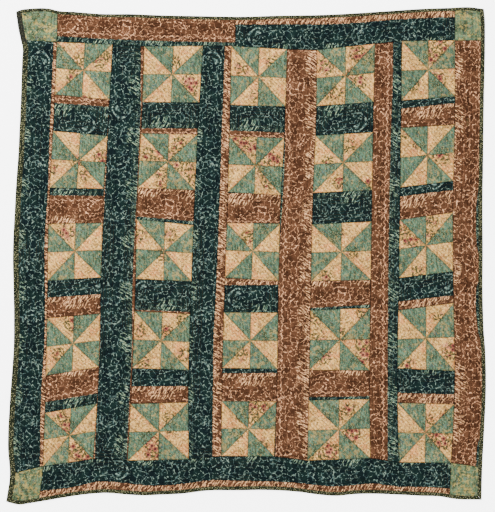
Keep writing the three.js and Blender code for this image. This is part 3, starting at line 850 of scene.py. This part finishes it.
# Short sashes
# Twenty strips of the same striped cotton between the blocks of each column, cut crosswise.
# Each row gives the line where its stripes meet at the left and right, and a tuft's place.
short_sashes = [
    {"column": 0, "gap": 1, "left": 432, "right": 450, "dark_first": False, "tufted": False, "tuft": 250},
    {"column": 0, "gap": 2, "left": 848, "right": 850, "dark_first": True, "tufted": False, "tuft": 262},
    {"column": 0, "gap": 3, "left": 1307, "right": 1292, "dark_first": True, "tufted": True, "tuft": 311},
    {"column": 0, "gap": 4, "left": 1777, "right": 1737, "dark_first": False, "tufted": False, "tuft": 300},
    {"column": 1, "gap": 1, "left": 547, "right": 547, "dark_first": True, "tufted": False, "tuft": 700},
    {"column": 1, "gap": 2, "left": 943, "right": 965, "dark_first": False, "tufted": False, "tuft": 625},
    {"column": 1, "gap": 3, "left": 1362, "right": 1373, "dark_first": True, "tufted": False, "tuft": 725},
    {"column": 1, "gap": 4, "left": 1706, "right": 1706, "dark_first": True, "tufted": True, "tuft": 693},
    {"column": 2, "gap": 1, "left": 556, "right": 567, "dark_first": True, "tufted": False, "tuft": 1098},
    {"column": 2, "gap": 2, "left": 985, "right": 985, "dark_first": False, "tufted": False, "tuft": 1040},
    {"column": 2, "gap": 3, "left": 1251, "right": 1251, "dark_first": False, "tufted": True, "tuft": 1150},
    {"column": 2, "gap": 4, "left": 1647, "right": 1647, "dark_first": True, "tufted": True, "tuft": 1100},
    {"column": 3, "gap": 1, "left": 444, "right": 426, "dark_first": False, "tufted": False, "tuft": 1472},
    {"column": 3, "gap": 2, "left": 836, "right": 823, "dark_first": False, "tufted": False, "tuft": 1548},
    {"column": 3, "gap": 3, "left": 1355, "right": 1339, "dark_first": False, "tufted": False, "tuft": 1400},
    {"column": 3, "gap": 4, "left": 1755, "right": 1751, "dark_first": False, "tufted": False, "tuft": 1548},
    {"column": 4, "gap": 1, "left": 457, "right": 434, "dark_first": True, "tufted": True, "tuft": 1900},
    {"column": 4, "gap": 2, "left": 853, "right": 824, "dark_first": True, "tufted": True, "tuft": 1823},
    {"column": 4, "gap": 3, "left": 1325, "right": 1298, "dark_first": True, "tufted": True, "tuft": 1880},
    {"column": 4, "gap": 4, "left": 1735, "right": 1744, "dark_first": True, "tufted": True, "tuft": 1910},
]
whole = bmesh.new()
for sash in short_sashes:
    first, level = 3 * sash["column"] + 1, 3 * sash["gap"]
    left, right = layout[first, level][0], layout[first + 2, level][0]
    line = smooth([(left, sash["left"]), (right, sash["right"])])
    on_cloth = cut_from_stripes(line, False, sash["dark_first"], sash["tufted"], sash["tuft"])
    sew_strip(whole, (first, first + 2), (level, level + 1), on_cloth)
short_strips = finished("short_sashes", whole)
short_strips.data.materials.append(stripe_cotton)
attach(short_strips, "root")
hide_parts("quilt_panel")

# Borders
# Four strips of the striped cotton round the blocks. The head border is pieced from two
# lengths, brown on the left and dark on the right. Their outer edges go under the binding.
PIECING_LINE = 7.14
borders = [
    {"across": (0, 1), "down": (1, LAST_LINE), "upright": True, "dark_first": True,
     "tufted": True, "tuft": 351,
     "line": [(193, 214), (553, 198), (778, 191), (868, 187), (1049, 175), (1318, 177), (1544, 172),
              (1634, 165), (1769, 159), (2065, 153)]},
    {"across": (LAST_LINE, END_LINE), "down": (1, LAST_LINE), "upright": True, "dark_first": False,
     "tufted": False, "tuft": 276,
     "line": [(180, 2148), (700, 2142), (880, 2118), (1080, 2120), (1180, 2140), (1250, 2120), (1440, 2122),
              (1560, 2146), (1900, 2146), (1960, 2124), (2065, 2114)]},
    {"across": (1, PIECING_LINE), "down": (0, 1), "upright": False, "dark_first": False,
     "tufted": False, "tuft": 432,
     "line": [(230, 132), (480, 146), (760, 155), (1033, 160)]},
    {"across": (PIECING_LINE, LAST_LINE), "down": (0, 1), "upright": False, "dark_first": False,
     "tufted": True, "tuft": 1240,
     "line": [(1033, 79), (1143, 79), (1548, 74), (1773, 56), (2020, 45)]},
    {"across": (1, LAST_LINE), "down": (LAST_LINE, END_LINE), "upright": False, "dark_first": True,
     "tufted": True, "tuft": 400,
     "line": [(150, 2178), (288, 2162), (423, 2135), (513, 2140), (648, 2153), (783, 2147), (918, 2129),
              (1053, 2131), (1143, 2133), (1323, 2142), (1458, 2156), (1548, 2153), (1638, 2144),
              (1773, 2158), (1908, 2160), (1975, 2165)]},
]
whole = bmesh.new()
for border in borders:
    on_cloth = cut_from_stripes(
        smooth(border["line"]), border["upright"], border["dark_first"], border["tufted"], border["tuft"]
    )
    sew_strip(whole, border["across"], border["down"], on_cloth)
border_strips = finished("borders", whole)
border_strips.data.materials.append(stripe_cotton)
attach(border_strips, "root")
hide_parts("quilt_panel")

# Corner squares
# A square of mottled sage and ochre cotton in each corner of the quilt, sewn between the
# ends of two borders. Its two outer edges go under the binding.


def laid_straight(points):
    """Places on a cloth that lies straight under the quilt's own places."""
    return points


whole = bmesh.new()
for a in (0, LAST_LINE):
    for d in (0, LAST_LINE):
        sew_strip(whole, (a, a + 1), (d, d + 1), laid_straight)
corner_squares = finished("corner_squares", whole)
dye = Dye("ochre_sage_print")
cloth = dye.cloth()
dull_sage = dyed(71, 88, 64)
wide_ochre = dyed(142, 126, 70)
ochre = sage_print(dye, cloth, dull_sage, wide_ochre, 0.72, 1.5)
corner_squares.data.materials.append(dye.finish(ochre, cloth))
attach(corner_squares, "root")
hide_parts("quilt_panel")

# Backing
# One sheet of undyed cotton under the whole quilt. It lies flat, is drawn up a little by
# the quilting, and its edges go into the fold of the binding.
BACKING_STEPS = 9
BACKING_THICKNESS = 0.6
RIM_LIFT = 1.35
RIM_REACH = 22
LINE_SPACING = 130
DRAWN_SIZE = 22
DRAWN_FIELD = 8.1
MOST_DRAWN = 0.6
FAR_FROM_SEAM = 50
whole = bmesh.new()
bmesh.ops.create_grid(
    whole, x_segments=END_LINE * BACKING_STEPS, y_segments=END_LINE * BACKING_STEPS, size=1
)
layers = cloth_layers(whole)
whole.verts.index_update()
shares = np.array([vert.co[:2] for vert in whole.verts])
a = np.clip((shares[:, 0] + 1) / 2 * END_LINE, 0, END_LINE - JUST_INSIDE)
d = np.clip((shares[:, 1] + 1) / 2 * END_LINE, 0, END_LINE - JUST_INSIDE)
points = layout_place(a, d)
from_rim = np.minimum.reduce([a, d, END_LINE - a, END_LINE - d]) * LINE_SPACING
hollows = [noise.noise(Vector((x / DRAWN_SIZE, y / DRAWN_SIZE, DRAWN_FIELD))) for x, y in points]
drawn = np.clip(0.5 * (np.array(hollows) + 0.15), 0, MOST_DRAWN)
heights = np.maximum(drawn, RIM_LIFT * np.clip(1 - from_rim / RIM_REACH, 0, 1))
for vert, place, flat in zip(whole.verts, in_frame(points, heights), points):
    vert.co = place
    vert[layers["stitching"]] = Vector((FAR_FROM_SEAM, 0, flat @ ALONG_LINES)) * MM
for face in whole.faces:
    for loop in face.loops:
        loop[layers["cloth"]].uv = Vector(points[loop.vert.index]) * MM
bmesh.ops.recalc_face_normals(whole, faces=whole.faces)
whole.faces.ensure_lookup_table()
if whole.faces[0].normal.z > 0:
    bmesh.ops.reverse_faces(whole, faces=whole.faces)
bmesh.ops.solidify(whole, geom=whole.faces[:], thickness=BACKING_THICKNESS * MM)
bmesh.ops.recalc_face_normals(whole, faces=whole.faces)
backing = finished("backing", whole)
dye = Dye("undyed_cotton")
cloth = dye.cloth()
across, down, _ = dye.apart(cloth)
slanted = dye.times(dye.math("SUBTRACT", across, down), math.sqrt(0.5))
half = QUILT_PITCH * MM / 2
line = dye.math("FLOORED_MODULO", dye.math("ADD", slanted, half), 2 * half)
to_line = dye.math("ABSOLUTE", dye.math("SUBTRACT", line, half))
aged = dye.band(dye.noise(cloth, 4.0, 3.0), 0.4, 0.75)
undyed, aged_tan = dyed(166, 144, 104), dyed(146, 123, 86)
aged = dye.over(undyed, aged_tan, aged)
backing.data.materials.append(dye.finish(aged, cloth, to_line=to_line))
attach(backing, "root")
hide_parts("quilt_panel")

# Binding
# Four strips of olive cotton with a fine speckled print, folded over the raw edge and
# mitred at the corners. Each shows a narrow band on the face and on the back.
FOLD_RADIUS = 2.75
FOLD_STEPS = 8
BINDING_PACE = 6.0
RAW_EDGE = 1.1
MITRE_GAP = 0.15
# How far down the left binding its head end is painted a darker grey, in millimetres
DARK_HEAD_END = 160.0
GATHER = 0.35
GATHER_LENGTH = 11
GATHER_FIELD = 0.4
WAVER_LENGTH = 60
WAVER_FIELD = 9.0
FACE_WAVER = 0.2
FOLD_WAVER = 0.35
EDGE_WAVER = 1.2
FOLD_REACH = 8
WELDED = 1e-7
sides = {
    "head": ("left", "right"), "right": ("head", "foot"),
    "foot": ("left", "right"), "left": ("head", "foot"),
}
cad_names = {
    "head": "binding_top", "right": "binding_right", "foot": "binding_bottom", "left": "binding_left",
}


def fold_profile(width):
    """The binding's section from its edge on the back round the fold to its edge on the face."""
    turn = np.linspace(-math.pi / 2, -3 * math.pi / 2, FOLD_STEPS + 1)
    fold = [(FOLD_RADIUS + FOLD_RADIUS * math.cos(t), FOLD_RADIUS + FOLD_RADIUS * math.sin(t)) for t in turn]
    top = 2 * FOLD_RADIUS
    face = [(width * 0.45, top + 0.15), (width * 0.75, top + 0.2), (width - 1.2, top + 0.1),
            (width - 0.2, top - 0.3), (width, top - 0.7), (width - 0.2, top - RAW_EDGE)]
    inner = [(1.2, top - RAW_EDGE), (1.2, RAW_EDGE), (width, RAW_EDGE)]
    back = [(width, 0.25), (width - 0.8, 0.0)]
    return np.array(back + fold + face + inner)


def corner_at(upright, level, index):
    """The corner of the quilt at one point of the fold's section."""
    return quilt_corner(upright, level, fold_profile(binding_width[upright])[index][0],
                        fold_profile(binding_width[level])[index][0])


bindings = {}
for side, neighbours in sides.items():
    width = binding_width[side]
    profile = fold_profile(width)
    level = side in ("head", "foot")
    spans = []
    for index in range(len(profile)):
        ends = [corner_at(n, side, index) if level else corner_at(side, n, index) for n in neighbours]
        spans.append([end[0 if level else 1] for end in ends])
    spans = np.array(spans)
    stations = round((spans[0, 1] - spans[0, 0]) / BINDING_PACE)
    whole = bmesh.new()
    bmesh.ops.create_grid(whole, x_segments=stations, y_segments=len(profile), size=1)
    layers = cloth_layers(whole)
    whole.verts.index_update()
    steps = np.array([vert.co[:2] for vert in whole.verts])
    station = np.rint((steps[:, 0] + 1) / 2 * stations)
    index = np.rint((steps[:, 1] + 1) / 2 * len(profile)).astype(int) % len(profile)
    start, end = spans[index, 0] + MITRE_GAP, spans[index, 1] - MITRE_GAP
    place = start + (end - start) * station / stations
    on_face = np.clip((profile[index, 1] - FOLD_RADIUS) / FOLD_RADIUS, 0, 1)
    gather = [noise.noise(Vector((p / GATHER_LENGTH, 2 * width, GATHER_FIELD))) for p in place]
    waver = np.array([noise.noise(Vector((p / WAVER_LENGTH, WAVER_FIELD, width))) for p in place])
    inset = profile[index, 0] + waver * np.where(profile[index, 0] > FOLD_REACH, EDGE_WAVER, FOLD_WAVER)
    heights = profile[index, 1] + on_face * (GATHER * np.array(gather) + FACE_WAVER * waver)
    points = side_point(side, place, inset)
    ring = np.concatenate([[0], np.cumsum(np.linalg.norm(np.diff(profile, axis=0), axis=1))])
    for vert, spot, s in zip(whole.verts, in_frame(points, heights), place):
        vert.co = spot
        vert[layers["stitching"]] = Vector((FAR_FROM_SEAM, FAR_FROM_SEAM, s)) * MM
        vert[layers["tone"]] = 1.0 if side == "left" and s < DARK_HEAD_END else 0.0
    for face in whole.faces:
        for loop in face.loops:
            n = loop.vert.index
            loop[layers["cloth"]].uv = Vector((ring[index[n]], place[n])) * MM
    bmesh.ops.remove_doubles(whole, verts=whole.verts, dist=WELDED)
    bmesh.ops.holes_fill(whole, edges=[edge for edge in whole.edges if edge.is_boundary])
    bmesh.ops.recalc_face_normals(whole, faces=whole.faces)
    bindings[side] = finished(f"binding_{side}_cloth", whole)

dye = Dye("speckled_olive_print")
cloth = dye.cloth()
deep_olive = dyed(30, 34, 22)
mid_olive = dyed(44, 46, 29)
dark_speck = dyed(18, 22, 18)
pale_speck = dyed(124, 122, 90)
head_end_grey = dyed(28, 28, 26)
olive = dye.over(deep_olive, mid_olive, dye.band(dye.noise(cloth, 30.0, 3.0), 0.42, 0.62))
olive = dye.over(olive, dark_speck, dye.band(dye.noise(cloth, 110.0, 2.0, 0.7), 0.52, 0.58))
pins = dye.leaves(cloth, 120.0, 0.0024, 0.002, 0.8)
olive = dye.over(olive, pale_speck, dye.times(pins, 0.85))
# The head end of the left binding is painted a darker grey.
olive = dye.over(olive, head_end_grey, dye.times(dye.woven("tone"), 0.75))
olive_cotton = dye.finish(olive, cloth)
for side, binding in bindings.items():
    binding.data.materials.append(olive_cotton)
    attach(binding, "root")
    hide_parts(cad_names[side])

# Binding stitches
# Small slanting whip stitches of brown thread, which hold the binding's turned edge down on
# the face and on the back. Each is a short round of thread.
WHIP_PITCH = 7.5
WHIP_LENGTH = 3.6
WHIP_RADIUS = 0.35
WHIP_SLANT = math.radians(35)
WHIP_SIDES = 5
FACE_STITCH = 2 * FOLD_RADIUS - 0.55
BACK_STITCH = 0.35
PAST_EDGE = 0.4
UNEVEN_PLACE = 0.6
UNEVEN_SLANT = 0.15
whole = bmesh.new()
for side, neighbours in sides.items():
    width = binding_width[side]
    level = side in ("head", "foot")
    ends = [quilt_corner(n, side, width, width) if level else quilt_corner(side, n, width, width)
            for n in neighbours]
    first, last = (end[0 if level else 1] for end in ends)
    for place in np.arange(first + WHIP_PITCH, last - WHIP_PITCH, WHIP_PITCH):
        for height, tilt in ((FACE_STITCH, 1), (BACK_STITCH, -1)):
            shift = rng.uniform(-UNEVEN_PLACE, UNEVEN_PLACE)
            spot = in_frame(side_point(side, place + shift, width + PAST_EDGE), np.array(height))
            slant = tilt * WHIP_SLANT + rng.uniform(-UNEVEN_SLANT, UNEVEN_SLANT)
            turn = slant + (math.pi / 2 if level else 0)
            lying = Matrix.Rotation(turn, 4, "Z") @ Matrix.Rotation(math.pi / 2, 4, "Y")
            bmesh.ops.create_cone(
                whole, segments=WHIP_SIDES, radius1=WHIP_RADIUS * MM, radius2=WHIP_RADIUS * MM,
                cap_ends=True, depth=WHIP_LENGTH * MM, matrix=Matrix.Translation(spot) @ lying,
            )
stitches = finished("binding_stitches", whole)
dye = Dye("brown_thread")
spun = dye.node("TexCoord", {}).outputs["Object"]
strand = dye.noise(spun, 900.0, 1.0)
dark_thread, light_thread = dyed(74, 66, 44), dyed(112, 98, 66)
thread_colour = dye.over(dark_thread, light_thread, dye.band(strand, 0.4, 0.6))
ply = dye.node("Bump", {"Height": dye.times(strand, 0.0002), "Strength": 0.5, "Distance": 1.0})
dye.feed(dye.shader, {"Base Color": thread_colour, "Normal": ply.outputs[0]})
stitches.data.materials.append(dye.material)
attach(stitches, "root")

# Camera, floor and light
# The quilt lies on a pale painted floor and is seen from straight above, as large as in the
# photo. One large soft lamp stands at the upper left and a weaker one at the lower right,
# and the rest of the light comes evenly from all round.
PIXEL = 0.0045
PICTURE_HEIGHT = 512
CAMERA_HEIGHT = 7.0
CAMERA_PLACE = (0.0063, -0.0005)
SENSOR = 36.0
FLOOR_REACH = 12
FLOOR_DROP = 0.0005
FLOOR_GLOW = 4.0
SKY_LIGHT = 1.85
floor_white = (0.86, 0.86, 0.865, 1)
plain_white = (1, 1, 1, 1)
camera_data = bpy.data.cameras.new("camera")
camera = bpy.data.objects.new("camera", camera_data)
bpy.context.scene.collection.objects.link(camera)
bpy.context.scene.camera = camera
camera.location = (*CAMERA_PLACE, CAMERA_HEIGHT)
camera_data.sensor_fit = "VERTICAL"
camera_data.sensor_height = SENSOR
camera_data.lens = SENSOR * CAMERA_HEIGHT / (PICTURE_HEIGHT * PIXEL)

floor_mesh = bmesh.new()
bmesh.ops.create_grid(floor_mesh, x_segments=1, y_segments=1, size=FLOOR_REACH)
mesh = bpy.data.meshes.new("floor")
floor_mesh.to_mesh(mesh)
floor_mesh.free()
floor = bpy.data.objects.new("floor", mesh)
bpy.context.scene.collection.objects.link(floor)
floor.location.z = -FLOOR_DROP
paint = bpy.data.materials.new("floor_paint")
paint.use_nodes = True
coat = paint.node_tree.nodes["Principled BSDF"]
coat.inputs["Base Color"].default_value = floor_white
coat.inputs["Roughness"].default_value = 0.9
coat.inputs["Emission Color"].default_value = plain_white
coat.inputs["Emission Strength"].default_value = FLOOR_GLOW
floor.data.materials.append(paint)

world = bpy.data.worlds.new("studio")
bpy.context.scene.world = world
world.use_nodes = True
sky = world.node_tree.nodes["Background"]
sky.inputs["Color"].default_value = plain_white
sky.inputs["Strength"].default_value = SKY_LIGHT
lamps = [
    {"name": "key", "place": (-3.2, 3.4, 3.0), "size": 2.0, "power": 500},
    {"name": "fill", "place": (3.5, -2.0, 4.5), "size": 3.0, "power": 140},
]
for lamp in lamps:
    lamp_data = bpy.data.lights.new(lamp["name"], "AREA")
    lamp_data.size = lamp["size"]
    lamp_data.energy = lamp["power"]
    light = bpy.data.objects.new(lamp["name"], lamp_data)
    light.location = lamp["place"]
    light.rotation_euler = Vector(lamp["place"]).to_track_quat("Z", "Y").to_euler()
    bpy.context.scene.collection.objects.link(light)
